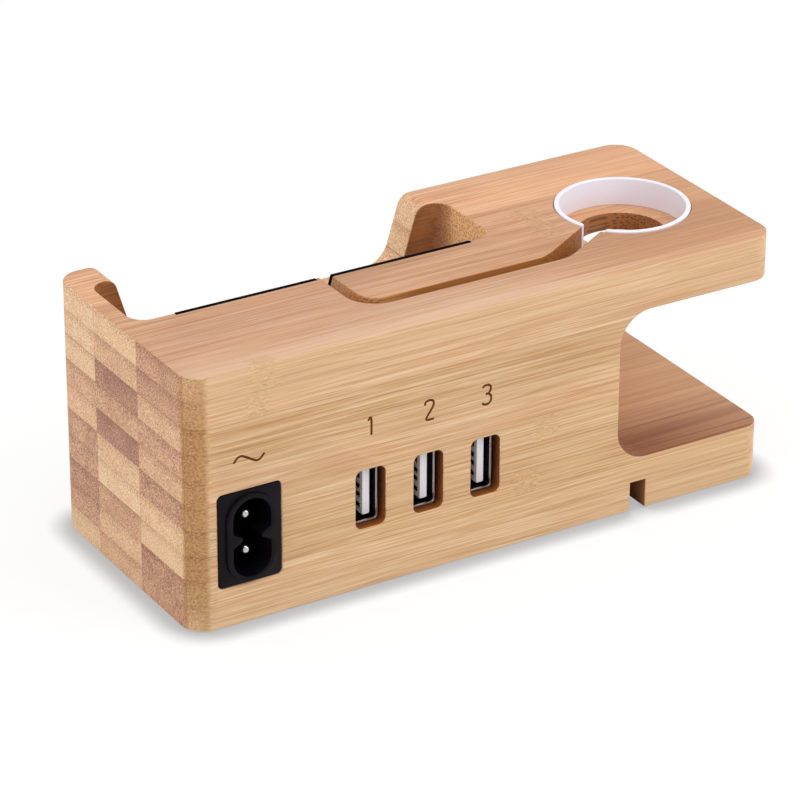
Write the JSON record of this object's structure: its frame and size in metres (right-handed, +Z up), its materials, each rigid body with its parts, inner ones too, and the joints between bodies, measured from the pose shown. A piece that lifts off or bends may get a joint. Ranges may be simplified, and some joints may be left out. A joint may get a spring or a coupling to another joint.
{
  "type": "charging station organizer",
  "caption": "Bamboo desk block that holds a phone in a padded slanted pocket and a round watch charger on a raised deck, with a built-in mains supply and USB sockets at the rear.",
  "frame": {"origin": "bottom centre of the outer box, on the surface that the rubber feet stand on", "axes": "+X along the block towards the mains inlet end, +Y towards the rear face with the sockets, +Z up"},
  "size_m": [0.147, 0.0618, 0.06],
  "materials": {
    "bamboo": "satin, fine straight grain",
    "white_plastic": "smooth moulded",
    "black_foam": "soft, matt",
    "black_plastic": "fine moulded texture",
    "screw_steel": "zinc plated",
    "foot_rubber": "matt",
    "inlet_black": "fine moulded texture",
    "pin_metal": "nickel plated",
    "shell_metal": "nickel plated sheet",
    "insert_white": "smooth moulded",
    "contact_gold": "gold plated",
    "board_green": "solder mask",
    "terminal_green": "moulded",
    "lead_brown": "PVC cover",
    "lead_blue": "PVC cover",
    "ferrite": "sintered ferrite",
    "copper": "enamelled copper",
    "film_yellow": "moulded case",
    "tape_yellow": "polyester tape",
    "sleeve_blue": "shrink sleeve",
    "disc_blue": "dipped coating",
    "chip_black": "epoxy",
    "chip_white": "epoxy",
    "sink_aluminium": "extruded"
  },
  "bodies": {
    "root": {"bamboo_body": "bamboo", "watch_ring": "white_plastic", "phone_pad_inlet_side": "black_foam", "phone_pad_watch_side": "black_foam", "base_cover": "black_plastic", "cover_screws": "screw_steel", "rubber_feet": "foot_rubber", "inlet_housing": "inlet_black", "inlet_pins": "pin_metal", "usb_shell_1": "shell_metal", "usb_shell_2": "shell_metal", "usb_shell_3": "shell_metal", "usb_insert_1": "insert_white", "usb_insert_2": "insert_white", "usb_insert_3": "insert_white", "usb_contacts_1": "contact_gold", "usb_contacts_2": "contact_gold", "usb_contacts_3": "contact_gold", "circuit_board": "board_green", "board_screws": "screw_steel", "mains_terminal": "terminal_green", "lead_live": "lead_brown", "lead_neutral": "lead_blue", "mains_fuse": "chip_black", "choke_core": "ferrite", "choke_winding": "copper", "filter_capacitor": "film_yellow", "bridge_rectifier": "chip_black", "storage_capacitors": "sleeve_blue", "transformer_core": "ferrite", "transformer_bobbin": "chip_black", "transformer_winding": "tape_yellow", "controller_chip": "chip_black", "optocoupler": "chip_white", "safety_capacitor": "disc_blue", "heat_sink": "sink_aluminium", "output_diode": "chip_black", "output_capacitors": "sleeve_blue", "output_coil": "copper"}
  },
  "joints": []
}
